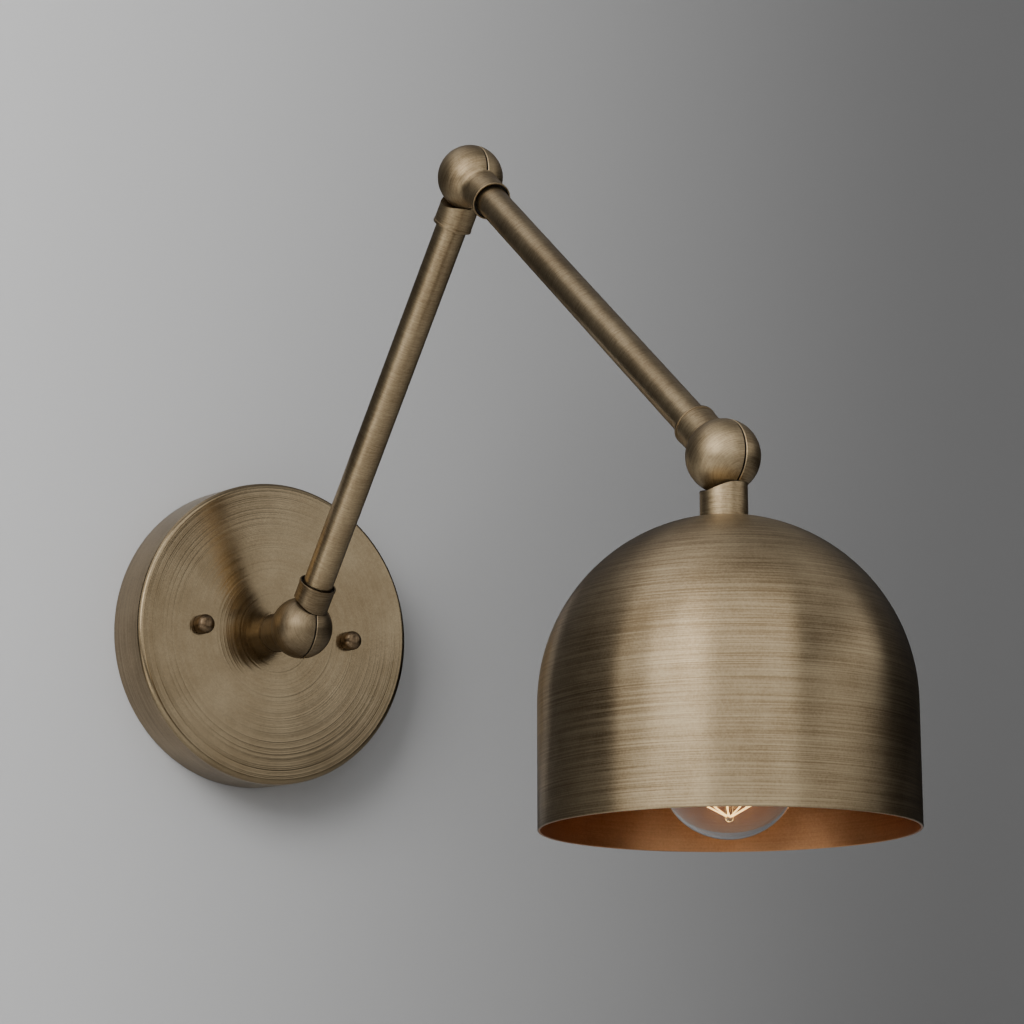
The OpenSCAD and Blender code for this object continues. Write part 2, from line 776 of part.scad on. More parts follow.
// Bulb
module bulb_base() {
  color("silver") on_head_ball(shade_turn) {
    translate([0, 0, base_z]) ring(base_d, base_d - 2 * base_wall, base_l);
    translate([0, 0, base_z]) ring(base_d, base_hole_d, base_wall);
  }
}
module bulb_insulator() {
  color([0.12, 0.12, 0.14]) on_head_ball(shade_turn) translate([0, 0, insulator_z])
    cylinder(d1 = tip_d, d2 = insulator_d, h = insulator_h);
}
module bulb_tip() {
  color("silver") on_head_ball(shade_turn) translate([0, 0, tip_z])
    cylinder(d1 = tip_face_d, d2 = tip_d, h = tip_h);
}
// The envelope is open at its neck, inside the base
module bulb_glass() {
  neck_l = globe_z - glass_z;
  color([0.8, 0.85, 0.88, 0.35]) on_head_ball(shade_turn) translate([0, 0, globe_z])
    mirror([0, 0, 1]) rotate_extrude() difference() {
      ball_and_neck(globe_d / 2, glass_neck_d / 2, glass_fillet, neck_l);
      ball_and_neck(globe_d / 2 - glass_wall, glass_neck_d / 2 - glass_wall,
        glass_fillet + glass_wall, neck_l + over);
    }
}
// Glass foot and rod that carry the filament
module bulb_stem() {
  color([0.8, 0.85, 0.88, 0.35]) on_head_ball(shade_turn) {
    translate([0, 0, glass_z]) cylinder(d = glass_neck_d - 2 * glass_wall - 2 * seat_clear, h = glass_wall);
    translate([0, 0, glass_z]) cylinder(d1 = flare_d, d2 = foot_d, h = flare_l);
    translate([0, 0, glass_z]) cylinder(d = foot_d, h = foot_l);
    translate([0, 0, glass_z]) cylinder(d = rod_d, h = cage_foot_z - glass_z);
    translate([0, 0, cage_top_z]) sphere(d = hub_bead_d);
    translate([0, 0, cage_foot_z]) sphere(d = hub_bead_d);
  }
}
// Round bar between two points
module wire(from, to, diameter) {
  run = to - from;
  length = norm(run);
  translate(from) rotate([0, acos(run[2] / length), atan2(run[1], run[0])])
    cylinder(d = diameter, h = length, $fn = 8);
}
function cage_point(i) = let (angle = 360 * i / cage_strands, foot = i % 2 == 0)
  foot ? [cage_foot_r * cos(angle), cage_foot_r * sin(angle), cage_foot_z - support_lean]
    : [cage_top_r * cos(angle), cage_top_r * sin(angle), cage_top_z - support_lean];
module filament_supports() {
  color("silver") on_head_ball(shade_turn) for (i = [0 : cage_strands - 1]) {
    hub = [0, 0, i % 2 == 0 ? cage_foot_z : cage_top_z];
    span = cage_point(i) - hub;
    aim = span / norm(span);
    wire(hub + hub_bead_d / 2 * aim, cage_point(i) - bead_d / 2 * aim, support_d);
  }
}
// Strands that run up and down between the beads, with the first and the last bead left apart
module filament() {
  color("gold") on_head_ball(shade_turn) {
    for (i = [0 : cage_strands - 2]) wire(cage_point(i), cage_point(i + 1), filament_d);
    for (i = [0 : cage_strands - 1]) translate(cage_point(i)) sphere(d = bead_d, $fn = 10);
  }
}

canopy();
cap_nuts();
wall_bar();
stud_bar();
bar_eyelet();
stud_rods();
stud_nuts();
ground_screw();
canopy_seat_ring();
canopy_nipple();
canopy_backing_plate();
canopy_lock_washer();
canopy_lock_nut();
wall_knuckle_inner_half();
wall_knuckle_screw();
wall_knuckle_spring_washer();
wall_leads();
wall_knuckle_outer_half();
wall_friction_washer();
lower_tube();
elbow_outer_half();
elbow_friction_washer();
lower_leads();
elbow_inner_half();
elbow_screw();
elbow_spring_washer();
upper_tube();
head_knuckle_inner_half();
head_knuckle_screw();
head_knuckle_spring_washer();
upper_leads();
head_knuckle_outer_half();
head_friction_washer();
shade_seat_ring();
shade();
shade_nipple();
shade_lock_washer();
shade_lock_nut();
socket_cap();
socket_body();
socket_screw_shell();
socket_contact();
head_leads();
bulb_base();
bulb_insulator();
bulb_tip();
bulb_glass();
bulb_stem();
filament_supports();
filament();
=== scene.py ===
from math import atan2, cos, degrees, hypot, pi, radians, sin, sqrt

import bmesh
import bpy
from mathutils import Matrix, Vector


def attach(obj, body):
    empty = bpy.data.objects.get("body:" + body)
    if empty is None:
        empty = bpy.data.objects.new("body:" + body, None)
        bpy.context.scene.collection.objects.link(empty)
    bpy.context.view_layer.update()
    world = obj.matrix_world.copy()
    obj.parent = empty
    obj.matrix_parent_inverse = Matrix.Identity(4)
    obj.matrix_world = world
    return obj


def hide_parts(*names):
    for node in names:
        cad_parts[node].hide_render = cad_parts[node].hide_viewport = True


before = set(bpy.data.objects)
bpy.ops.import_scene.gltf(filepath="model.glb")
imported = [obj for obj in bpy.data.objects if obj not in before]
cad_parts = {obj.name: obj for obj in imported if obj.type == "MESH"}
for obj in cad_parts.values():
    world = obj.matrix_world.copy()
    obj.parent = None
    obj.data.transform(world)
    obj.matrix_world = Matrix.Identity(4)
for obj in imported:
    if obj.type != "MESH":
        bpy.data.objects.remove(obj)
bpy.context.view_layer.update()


# Wall plate. The real one is a pan spun from sheet brass with a rolled front edge. It is aged
# brown and then brushed on the lathe, so fine rings run round it. Its side is drawn in a darker
# copy of the brass, a painted shade, so that the rolled edge stands out bright against it.
MM = 0.001
plate_r = 63.5
plate_depth = 23.4
plate_wall = 1.2
plate_edge_r = 2.4
nipple_hole_r = 5.15


class Outline:
    """Half section of a turned piece in mm: X is the radius and Z the height on its axis."""

    def __init__(self, x, z):
        self.mesh = bmesh.new()
        self.first = self.last = self.mesh.verts.new((x, 0, z))
        self.corners = []

    def to(self, x, z, rounding=0):
        """Run straight to a point, whose corner is rounded before the outline is spun."""
        vert = self.mesh.verts.new((x, 0, z))
        self.mesh.edges.new((self.last, vert))
        if rounding:
            self.corners.append((vert, rounding))
        self.last = vert
        return self

    def arc(self, x, z, angle, steps):
        """Run on a circle round (x, z), clockwise for a positive angle in degrees."""
        run = bmesh.ops.spin(self.mesh, geom=[self.last], cent=(x, 0, z), axis=(0, 1, 0),
                             angle=radians(angle), steps=steps)
        self.last = run["geom_last"][0]
        return self

    def spin(self, steps=128, segments=4):
        """The turned piece. An outline that doesn't start on the axis is closed first."""
        if self.first.co.x > 0:
            self.mesh.edges.new((self.last, self.first))
        for vert, rounding in self.corners:
            bmesh.ops.bevel(self.mesh, geom=[vert], offset=rounding, offset_type="OFFSET",
                            affect="VERTICES", segments=segments, profile=0.5, material=-1)
        bmesh.ops.spin(self.mesh, geom=self.mesh.verts[:] + self.mesh.edges[:], cent=(0, 0, 0),
                       axis=(0, 0, 1), angle=2 * pi, steps=steps, use_merge=True)
        bmesh.ops.remove_doubles(self.mesh, verts=self.mesh.verts, dist=1e-4)
        bmesh.ops.recalc_face_normals(self.mesh, faces=self.mesh.faces)
        return self.mesh


def laid(mesh, centre=(0, 0, 0), turn=0):
    """Take a mesh from mm to its place, with its +Z turned about X by so many degrees."""
    place = Matrix.Translation(Vector(centre) * MM) @ Matrix.Rotation(radians(turn), 4, "X")
    bmesh.ops.transform(mesh, matrix=place @ Matrix.Scale(MM, 4), verts=mesh.verts)
    return mesh


def piece(name, mesh, finish, body, slot, *nodes):
    """Make an object of a finished mesh, which stands for its CAD nodes."""
    data = bpy.data.meshes.new(name)
    mesh.to_mesh(data)
    mesh.free()
    data.materials.append(finish)
    data.shade_smooth()
    data.set_sharp_from_angle(angle=radians(32))
    thing = bpy.data.objects.new(name, data)
    bpy.context.scene.collection.objects.link(thing)
    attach(thing, body)
    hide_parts(*nodes)
    return thing


class Wire:
    """One output of a shader node, so that sums on outputs are written as plain Python."""

    def __init__(self, tree, socket=None):
        self.tree = tree
        self.socket = socket

    def node(self, kind, settings=None, values=None, out=0):
        """Add any node: its type, its settings, then the values or wires of its sockets."""
        made = self.tree.nodes.new(kind)
        for name, setting in (settings or {}).items():
            setattr(made, name, setting)
        for name, value in (values or {}).items():
            if isinstance(value, Wire):
                self.tree.links.new(value.socket, made.inputs[name])
            else:
                made.inputs[name].default_value = value
        return Wire(self.tree, made.outputs[out] if made.outputs else None)

    def sum(self, operation, *values):
        return self.node("ShaderNodeMath", {"operation": operation}, dict(enumerate(values)))

    def __add__(self, other):
        return self.sum("ADD", self, other)

    def __radd__(self, other):
        return self.sum("ADD", other, self)

    def __sub__(self, other):
        return self.sum("SUBTRACT", self, other)

    def __rsub__(self, other):
        return self.sum("SUBTRACT", other, self)

    def __mul__(self, other):
        return self.sum("MULTIPLY", self, other)

    def __rmul__(self, other):
        return self.sum("MULTIPLY", other, self)

    def __truediv__(self, other):
        return self.sum("DIVIDE", self, other)

    def __pow__(self, other):
        return self.sum("POWER", self, other)

    def smooth(self, low, high):
        """0 at low, 1 at high, and a soft run between."""
        return self.node("ShaderNodeMapRange", {"interpolation_type": "SMOOTHSTEP"},
                         {"Value": self, "From Min": low, "From Max": high})

    def between(self, low, high):
        """A colour that runs from low to high with this wire."""
        return self.node("ShaderNodeMix", {"data_type": "RGBA"}, {0: self, 6: low, 7: high},
                         out=2)


def new_finish(name):
    """An empty material, and a wire to add its nodes from."""
    finish = bpy.data.materials.new(name)
    finish.use_nodes = True
    finish.node_tree.nodes.clear()
    return finish, Wire(finish.node_tree)


def on_axis(start, centre, turn):
    """Position in metres from a piece's own axis, which lies along local +Z."""
    place = start.node("ShaderNodeTexCoord", out="Object")
    return start.node("ShaderNodeMapping", {"vector_type": "TEXTURE"},
                      {"Vector": place, "Location": Vector(centre) * MM,
                       "Rotation": (radians(turn), 0, 0)})


def aged_brass(name, centre, turn, light=(0.50, 0.392, 0.24, 1), dark=(0.23, 0.162, 0.088, 1),
               rough=0.34, line=0.45, strokes=1.6, depth=0.3, stain=1.4, spread=0, fine=3):
    """Brown aged brass, brushed in rings round an axis. The line is a groove's pitch in mm, and
    the depth is that of the grooves in tenths of a mm."""
    finish, start = new_finish(name)
    local = on_axis(start, centre, turn)
    parts = local.node("ShaderNodeSeparateXYZ", {}, {0: local})
    x, y, z = [Wire(parts.tree, parts.socket.node.outputs[axis]) for axis in range(3)]
    radius = (x * x + y * y + 1e-9) ** 0.5
    lines = 1 / (line * MM)
    way = {0: x / radius * strokes, 1: y / radius * strokes, 2: z * lines}
    brush = start.node("ShaderNodeTexNoise", {"noise_dimensions": "4D"}, {
        "Vector": start.node("ShaderNodeCombineXYZ", {}, way),
        "W": radius * lines, "Scale": 1, "Detail": fine, "Roughness": 0.6})
    age = start.node("ShaderNodeTexNoise", {}, {
        "Vector": local, "Scale": 60, "Detail": 5, "Roughness": 0.55})
    cloud = start.node("ShaderNodeTexNoise", {}, {
        "Vector": local, "Scale": 17, "Detail": 2, "Roughness": 0.5})
    grain = start.node("ShaderNodeTexNoise", {}, {
        "Vector": local, "Scale": 1300, "Detail": 2, "Roughness": 0.6})
    tone = 0.5 + (brush - 0.5) * stain + (grain - 0.5) * 0.5
    tone = (tone + (age - 0.5) * 0.7 + (cloud - 0.5) * 0.6).smooth(0, 1)
    gloss = rough + (brush - 0.5) * 0.16 + (cloud - 0.5) * 0.14
    groove = start.node("ShaderNodeBump", {}, {
        "Strength": 1, "Distance": depth * MM / 10, "Height": brush})
    shader = start.node("ShaderNodeBsdfPrincipled", {}, {
        "Base Color": tone.between(dark, light), "Metallic": 1, "Roughness": gloss,
        "Anisotropic": spread, "Anisotropic Rotation": 0.25, "Normal": groove})
    start.node("ShaderNodeOutputMaterial", {}, {"Surface": shader})
    return finish


plate = Outline(plate_r, 0)
plate.to(plate_r, plate_depth, plate_edge_r)
plate.to(nipple_hole_r, plate_depth)
plate.to(nipple_hole_r, plate_depth - plate_wall)
plate.to(plate_r - plate_wall, plate_depth - plate_wall, plate_edge_r - plate_wall)
plate.to(plate_r - plate_wall, 0)
plate_brass = aged_brass("brushed_plate_brass", (0, 0, 0), 90, rough=0.2, line=1.0,
                         strokes=0.1, depth=0.85, stain=0.4, fine=1.5,
                         light=(0.38, 0.30, 0.187, 1), dark=(0.20, 0.145, 0.08, 1))
# The side below the rolled edge gets a darker copy of the brass: painted shade.
shaded_side_brass = aged_brass("plate_side_painted_shade", (0, 0, 0), 90, line=0.5,
                        light=(0.34, 0.262, 0.16, 1), dark=(0.16, 0.112, 0.06, 1))
plate_mesh = plate.spin(steps=192, segments=8)
for face in plate_mesh.faces:
    face.material_index = int(face.calc_center_median().z < plate_depth - plate_edge_r)
wall_plate = piece("wall_plate", laid(plate_mesh, turn=90), plate_brass,
                   "wall_mount", "antique_brass", "canopy")
wall_plate.data.materials.append(shaded_side_brass)


# Cap nuts. Two small turned brass nuts with a domed face, aged almost black, that close the
# ends of the studs and press the plate to the wall.
nut_r = 4
nut_h = 6
nut_edge_r = 3
nut_foot = 0.3
stud_x = 34.925
dark_brass = aged_brass("dark_nut_brass", (0, 0, 0), 90, light=(0.30, 0.215, 0.13, 1),
                        dark=(0.10, 0.066, 0.037, 1), rough=0.32, line=0.3, depth=0.1)
nut = Outline(0, 0).to(nut_r - nut_foot, 0).to(nut_r, nut_foot)
nuts = nut.to(nut_r, nut_h, nut_edge_r).to(0, nut_h).spin(steps=64, segments=8)
bmesh.ops.translate(nuts, vec=(stud_x, 0, 0), verts=nuts.verts)
bmesh.ops.mirror(nuts, geom=nuts.verts[:] + nuts.edges[:] + nuts.faces[:], axis="X",
                 matrix=Matrix(), merge_dist=-1)
bmesh.ops.recalc_face_normals(nuts, faces=nuts.faces)
piece("plate_cap_nuts", laid(nuts, (0, -plate_depth, 0), 90), dark_brass,
      "wall_mount", "dark_brass", "cap_nuts")


# Wall fixing. Two zinc plated straps are riveted crosswise, the upright one to the electrical
# box and the level one to the studs. All of it hides behind the plate, with the leads' ends.
behind_plate = [wall_plate]


def plated(name, colour, rough=0.35):
    """Stamped or drawn metal with a faint spangle."""
    finish, start = new_finish(name)
    place = start.node("ShaderNodeTexCoord", out="Object")
    spangle = start.node("ShaderNodeTexNoise", {}, {"Vector": place, "Scale": 900, "Detail": 3})
    cloud = start.node("ShaderNodeTexNoise", {}, {"Vector": place, "Scale": 90, "Detail": 2})
    mixed = (0.5 + (spangle - 0.5) * 0.8 + (cloud - 0.5)).smooth(0, 1)
    low = [part * 0.68 for part in colour[:3]] + [1]
    bumps = start.node("ShaderNodeBump", {}, {
        "Strength": 0.3, "Distance": 0.00003, "Height": spangle})
    shader = start.node("ShaderNodeBsdfPrincipled", {}, {
        "Base Color": mixed.between(low, colour), "Metallic": 1,
        "Roughness": rough + (cloud - 0.5) * 0.25, "Normal": bumps})
    start.node("ShaderNodeOutputMaterial", {}, {"Surface": shader})
    return finish


def moulded(name, colour, rough):
    """Moulded plastic or enamel, with a fine orange peel and a slight change of tone."""
    finish, start = new_finish(name)
    place = start.node("ShaderNodeTexCoord", out="Object")
    peel = start.node("ShaderNodeTexNoise", {}, {"Vector": place, "Scale": 1500, "Detail": 2})
    cloud = start.node("ShaderNodeTexNoise", {}, {"Vector": place, "Scale": 70, "Detail": 3})
    low = [part * 0.82 for part in colour[:3]] + [1]
    bumps = start.node("ShaderNodeBump", {}, {
        "Strength": 0.2, "Distance": 0.00005, "Height": peel})
    shader = start.node("ShaderNodeBsdfPrincipled", {}, {
        "Base Color": cloud.smooth(0.3, 0.7).between(low, colour),
        "Roughness": rough + (cloud - 0.5) * 0.2, "Normal": bumps})
    start.node("ShaderNodeOutputMaterial", {}, {"Surface": shader})
    return finish


def dressed(name, node, finish, body, slot):
    """A new piece made of a merged copy of a CAD node, smooth where the real one is round."""
    solid = bmesh.new()
    solid.from_mesh(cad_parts[node].data)
    bmesh.ops.remove_doubles(solid, verts=solid.verts, dist=1e-6)
    bmesh.ops.dissolve_limit(solid, angle_limit=radians(1), use_dissolve_boundaries=False,
                             verts=solid.verts, edges=solid.edges)
    return piece(name, solid, finish, body, slot, node)


zinc = plated("zinc_plate", (0.55, 0.56, 0.57, 1))
bare_brass = plated("bare_brass", (0.60, 0.43, 0.20, 1), rough=0.28)
green_steel = plated("green_earth_screw", (0.04, 0.22, 0.07, 1), rough=0.4)
lead_cover = moulded("lead_cover", (0.055, 0.05, 0.045, 1), rough=0.5)
for node, finish, slot in (
        ("wall_bar", zinc, "zinc_steel"), ("stud_bar", zinc, "zinc_steel"),
        ("bar_eyelet", bare_brass, "plain_brass"), ("stud_rods", zinc, "zinc_steel"),
        ("stud_nuts", zinc, "zinc_steel"), ("ground_screw", green_steel, "green_steel"),
        ("canopy_nipple", bare_brass, "plain_brass"),
        ("canopy_backing_plate", zinc, "zinc_steel"),
        ("canopy_lock_washer", zinc, "zinc_steel"),
        ("canopy_lock_nut", bare_brass, "plain_brass"),
        ("wall_leads", lead_cover, "lead_cover")):
    behind_plate.append(dressed(node + "_piece", node, finish, "wall_mount", slot))


# Seat ring of the stem: a thin turned washer of the same brass. The nipple passes through it
# and clamps it between the plate and the knuckle's stem.
ring_r = 8.2
ring_h = 0.8
neck_reach = 21
stem_turn = -90
# A darker copy of the knuckle brass for the wall knuckle and its stem: painted shade, for the
# dimmer light it gets close to the plate.
painted_shade_brown = {"light": (0.29, 0.223, 0.136, 1), "dark": (0.125, 0.086, 0.047, 1)}
wall_ball = Vector((0, -plate_depth - ring_h - neck_reach, 0))


def seat_ring():
    """A washer on the end of a knuckle's neck."""
    end = neck_reach + ring_h
    ring = Outline(ring_r, neck_reach).to(ring_r, end, 0.2).to(nipple_hole_r, end)
    return ring.to(nipple_hole_r, neck_reach).spin(steps=96)


stem_brass = aged_brass("stem_brass", wall_ball, stem_turn, rough=0.38, line=0.3, **painted_shade_brown)
piece("stem_seat_ring", laid(seat_ring(), wall_ball, stem_turn), stem_brass,
      "wall_mount", "antique_brass", "canopy_seat_ring")


# Left half of the wall knuckle. A one inch ball and its stem are turned from one brass bar,
# then sawn down the middle. The split edge is bevelled, and the stem screws on the nipple.
ball_r = 12.7
clear_r = 13
half_gap = 0.34
split_bevel = 0.25
stem_r = 8.05
stem_fillet = 1
tube_r = 6.15
tube_fit = 0.03
seat_z = 14.5
collar_r = 7.6
lip_r = 7.8
lip_l = 1.2
lip_wall = 0.6
recess = 1.6


def fillet_place(radius, neck_r, fillet):
    """How far out and up a fillet's centre lies from a ball's centre, and its lean off the axis."""
    out = neck_r + fillet
    up = sqrt((radius + fillet) ** 2 - out ** 2)
    return out, up, degrees(atan2(out, up))


def ball_into_neck(radius, neck_r, fillet, steps=56):
    """Outline of a ball from its lowest point up to where a fillet has run into the neck."""
    out, up, lean = fillet_place(radius, neck_r, fillet)
    return Outline(0, -radius).arc(0, 0, lean - 180, steps).arc(out, up, 90 - lean, 8)


def as_object(mesh):
    """A bare object for a modifier to work on."""
    data = bpy.data.meshes.new("blank")
    mesh.to_mesh(data)
    mesh.free()
    thing = bpy.data.objects.new("blank", data)
    bpy.context.scene.collection.objects.link(thing)
    return thing


def cut(mesh, tool):
    """Cut one closed mesh with another."""
    blank = as_object(mesh)
    saw = as_object(tool)
    cutting = blank.modifiers.new("saw", "BOOLEAN")
    cutting.operation = "DIFFERENCE"
    cutting.solver = "EXACT"
    cutting.object = saw
    left = bmesh.new()
    left.from_object(blank, bpy.context.evaluated_depsgraph_get())
    for thing in (blank, saw):
        bpy.data.objects.remove(thing)
    return left


def split(turning, screw_head):
    """Saw the right side off a turned ball and neck, and leave room for the other half."""
    saw = Outline(0, -half_gap).to(ball_r - split_bevel, -half_gap)
    saw.to(clear_r, -half_gap - split_bevel - clear_r + ball_r)
    saw.to(clear_r, 2 * ball_r).to(0, 2 * ball_r)
    along_x = Matrix.Rotation(radians(90), 3, "Y")
    tool = saw.spin(steps=160)
    bmesh.ops.rotate(tool, cent=(0, 0, 0), matrix=along_x, verts=tool.verts)
    half = cut(turning, tool)
    if screw_head:
        bore = Outline(0, -2 * ball_r).to(head_hole_r, -2 * ball_r)
        bore = bore.to(head_hole_r, -head_seat).to(0, -head_seat).spin(steps=64)
        bmesh.ops.rotate(bore, cent=(0, 0, 0), matrix=along_x, verts=bore.verts)
        half = cut(half, bore)
        bmesh.ops.scale(half, vec=(-1, 1, 1), verts=half.verts)
        bmesh.ops.reverse_faces(half, faces=half.faces)
    return half


def paint_gap_shade(half):
    """Mark the sawn face, and the hollow behind the lip, to be drawn black as painted shade in the
    gaps.
    """
    near = 0.02
    lip_edge = 0.2
    for face in half.faces:
        middle = face.calc_center_median()
        sawn = abs(middle.x) < half_gap + near and abs(face.normal.x) > 0.9
        in_lip = hypot(middle.x, middle.y) < lip_r - lip_wall / 2 and middle.z > seat_z
        face.material_index = int(sawn or (in_lip and middle.z < neck_reach - lip_edge))
    return half


def stem_half(screw_head):
    """Half a ball with a plain neck, in mm, on its own axis."""
    stem = ball_into_neck(ball_r, stem_r, stem_fillet)
    stem.to(stem_r, neck_reach, 0.15).to(0, neck_reach)
    return paint_gap_shade(split(stem.spin(), screw_head))


# Near black: painted shade for the split between the halves and the hollow behind each lip.
gap_shade_black = moulded("painted_gap_shade", (0.018, 0.014, 0.010, 1), rough=0.6)


def knuckle_half(name, mesh, centre, turn, finish, body, node):
    """Lay half a ball in its place and give it its black faces of painted gap shade."""
    half = piece(name, laid(mesh, centre, turn), finish, body, "antique_brass", node)
    half.data.materials.append(gap_shade_black)


knuckle_half("wall_knuckle_left", stem_half(False), wall_ball, stem_turn, stem_brass,
             "wall_mount", "wall_knuckle_inner_half")


# Clamp of the wall knuckle: a slotted brass screw with a spring washer under its head, and a
# nylon washer between the two halves that sets how stiffly the joint turns. The washer is drawn
# near black and almost as wide as the ball, a sheet of painted shade in the gap.
washer_r = 11.6
washer_bore_r = 2.2
washer_half = 0.19
# Near black: painted shade for the gap between the knuckle halves.
nylon = moulded("washer_painted_gap_shade", (0.03, 0.028, 0.025, 1), rough=0.5)


def washer(name, centre, body, node):
    """A thin near-black disc between the halves, whose axis lies along X. It closes the view
    between them as painted shade in the gap.
    """
    disc = Outline(washer_bore_r, -washer_half).to(washer_r, -washer_half)
    disc = disc.to(washer_r, washer_half).to(washer_bore_r, washer_half).spin(steps=96)
    bmesh.ops.rotate(disc, cent=(0, 0, 0), matrix=Matrix.Rotation(radians(90), 3, "Y"),
                     verts=disc.verts)
    piece(name, laid(disc, centre), nylon, body, "nylon", node)


screw_brass = plated("screw_brass", (0.40, 0.29, 0.15, 1), rough=0.3)
dressed("wall_clamp_screw", "wall_knuckle_screw", screw_brass, "wall_mount", "dark_brass")
dressed("wall_clamp_spring", "wall_knuckle_spring_washer", zinc, "wall_mount", "zinc_steel")
washer("wall_clamp_washer", wall_ball, "lower_arm", "wall_friction_washer")


# Right half of the wall knuckle. It turns on the clamp screw, whose head lies in a hole on the
# far side. Its collar has a slightly wider lip, with a shadow gap round the brazed tube.
head_hole_r = 3.45
head_seat = 7
lower_turn = 36.1


def collar_half(fillet, screw_head):
    """Half a ball with a lipped collar for a tube, in mm, on its own axis."""
    collar = ball_into_neck(ball_r, collar_r, fillet)
    collar.to(collar_r, neck_reach - lip_l).to(lip_r, neck_reach - lip_l, 0.12)
    collar.to(lip_r, neck_reach, 0.25).to(lip_r - lip_wall, neck_reach, 0.15)
    collar.to(lip_r - lip_wall, neck_reach - recess)
    collar.to(tube_r + tube_fit, neck_reach - recess)
    collar.to(tube_r + tube_fit, seat_z).to(0, seat_z)
    return paint_gap_shade(split(collar.spin(), screw_head))


wall_collar_brass = aged_brass("wall_collar_brass", wall_ball, lower_turn, rough=0.38, line=0.3,
                               **painted_shade_brown)
knuckle_half("wall_knuckle_right", collar_half(stem_fillet, True), wall_ball, lower_turn,
             wall_collar_brass, "lower_arm", "wall_knuckle_outer_half")


# Lower tube: drawn brass tube about half an inch across, brushed in rings. It is brazed into a
# collar at each end, and it carries two leads.
tube_wall = 1
lower_l = 204


def along(centre, turn, distance):
    """A point on an axis, so many mm from its ball."""
    way = Vector((0, -sin(radians(turn)), cos(radians(turn))))
    return Vector(centre) + way * distance


def arm_tube(length):
    """A tube that ends on the seats of the collars round two balls."""
    tube = Outline(tube_r, seat_z).to(tube_r, length - seat_z)
    return tube.to(tube_r - tube_wall, length - seat_z).to(tube_r - tube_wall, seat_z).spin()


lower_brass = aged_brass("lower_tube_brass", wall_ball, lower_turn, line=0.25, depth=0.1)
piece("lower_arm_tube", laid(arm_tube(lower_l), wall_ball, lower_turn), lower_brass,
      "lower_arm", "antique_brass", "lower_tube")
dressed("lower_arm_leads", "lower_leads", lead_cover, "lower_arm", "lead_cover")


# Right half of the elbow, at the top of the lower tube. It is the wall knuckle's right half
# turned end for end, so that its collar looks down the tube.
elbow_ball = along(wall_ball, lower_turn, lower_l)
elbow_low_brass = aged_brass("elbow_low_brass", elbow_ball, lower_turn + 180, rough=0.4, line=0.3)
knuckle_half("elbow_right", collar_half(stem_fillet, True), elbow_ball, lower_turn + 180,
             elbow_low_brass, "lower_arm", "elbow_outer_half")


# Left half of the elbow, turned and sawn from the same brass bar. Its ball runs into the upper
# tube's collar in a wide hollow sweep, and its own screw and washers clamp it to the right half.
upper_turn = 129.05
elbow_fillet = 4.6
elbow_up_brass = aged_brass("elbow_up_brass", elbow_ball, upper_turn, rough=0.4, line=0.3)
knuckle_half("elbow_left", collar_half(elbow_fillet, False), elbow_ball, upper_turn,
             elbow_up_brass, "upper_arm", "elbow_inner_half")
dressed("elbow_clamp_screw", "elbow_screw", screw_brass, "upper_arm", "dark_brass")
dressed("elbow_clamp_spring", "elbow_spring_washer", zinc, "upper_arm", "zinc_steel")
washer("elbow_clamp_washer", elbow_ball, "lower_arm", "elbow_friction_washer")


# Upper tube: the same brass tube, a little longer. It too is brazed into its collars and carries
# two leads.
upper_l = 215
upper_brass = aged_brass("upper_tube_brass", elbow_ball, upper_turn, line=0.25, depth=0.1)
piece("upper_arm_tube", laid(arm_tube(upper_l), elbow_ball, upper_turn), upper_brass,
      "upper_arm", "antique_brass", "upper_tube")
dressed("upper_arm_leads", "upper_leads", lead_cover, "upper_arm", "lead_cover")


# Left half of the head knuckle, a brass half ball with its collar at the end of the upper tube.
# It takes the clamp screw, and the washer lies between it and the right half.
head_ball = along(elbow_ball, upper_turn, upper_l)
head_left_brass = aged_brass("head_left_brass", head_ball, upper_turn + 180, rough=0.4, line=0.3)
knuckle_half("head_knuckle_left", collar_half(stem_fillet, False), head_ball, upper_turn + 180,
             head_left_brass, "upper_arm", "head_knuckle_inner_half")
dressed("head_clamp_screw", "head_knuckle_screw", screw_brass, "upper_arm", "dark_brass")
dressed("head_clamp_spring", "head_knuckle_spring_washer", zinc, "upper_arm", "zinc_steel")
washer("head_clamp_washer", head_ball, "lamp_head", "head_friction_washer")


# Right half of the head knuckle, a brass half ball with a plain stem. The shade hangs on that
# stem by a nipple, with a seat ring between them.
shade_turn = 176.6
shade_neck_brass = aged_brass("shade_neck_brass", head_ball, shade_turn, rough=0.38, line=0.3)
knuckle_half("head_knuckle_right", stem_half(True), head_ball, shade_turn,
             shade_neck_brass, "lamp_head", "head_knuckle_outer_half")
piece("shade_neck_ring", laid(seat_ring(), head_ball, shade_turn), shade_neck_brass,
      "lamp_head", "antique_brass", "shade_seat_ring")


# Bell shade. Spun from one sheet of brass as a half sphere over a straight skirt, and brushed
# level on the lathe. The inside is bare, and its copper-orange colour is painted warm light from
# the lit bulb. The rim is cut square.
shade_r = 62.4
shade_wall = 0.9
crown_r = 8.2
skirt_l = 41.6
shade_top = neck_reach + ring_h
dome_z = shade_top + sqrt(shade_r ** 2 - crown_r ** 2)
rim_z = dome_z + skirt_l
inner_r = shade_r - shade_wall
inner_crown_r = sqrt(inner_r ** 2 - (dome_z - shade_top - shade_wall) ** 2)
outer_sweep = 90 - degrees(atan2(crown_r, dome_z - shade_top))
inner_sweep = 90 - degrees(atan2(inner_crown_r, dome_z - shade_top - shade_wall))
bell = Outline(nipple_hole_r, shade_top).to(crown_r, shade_top)
bell.arc(0, dome_z, -outer_sweep, 48).to(shade_r, rim_z, 0.3).to(inner_r, rim_z, 0.3)
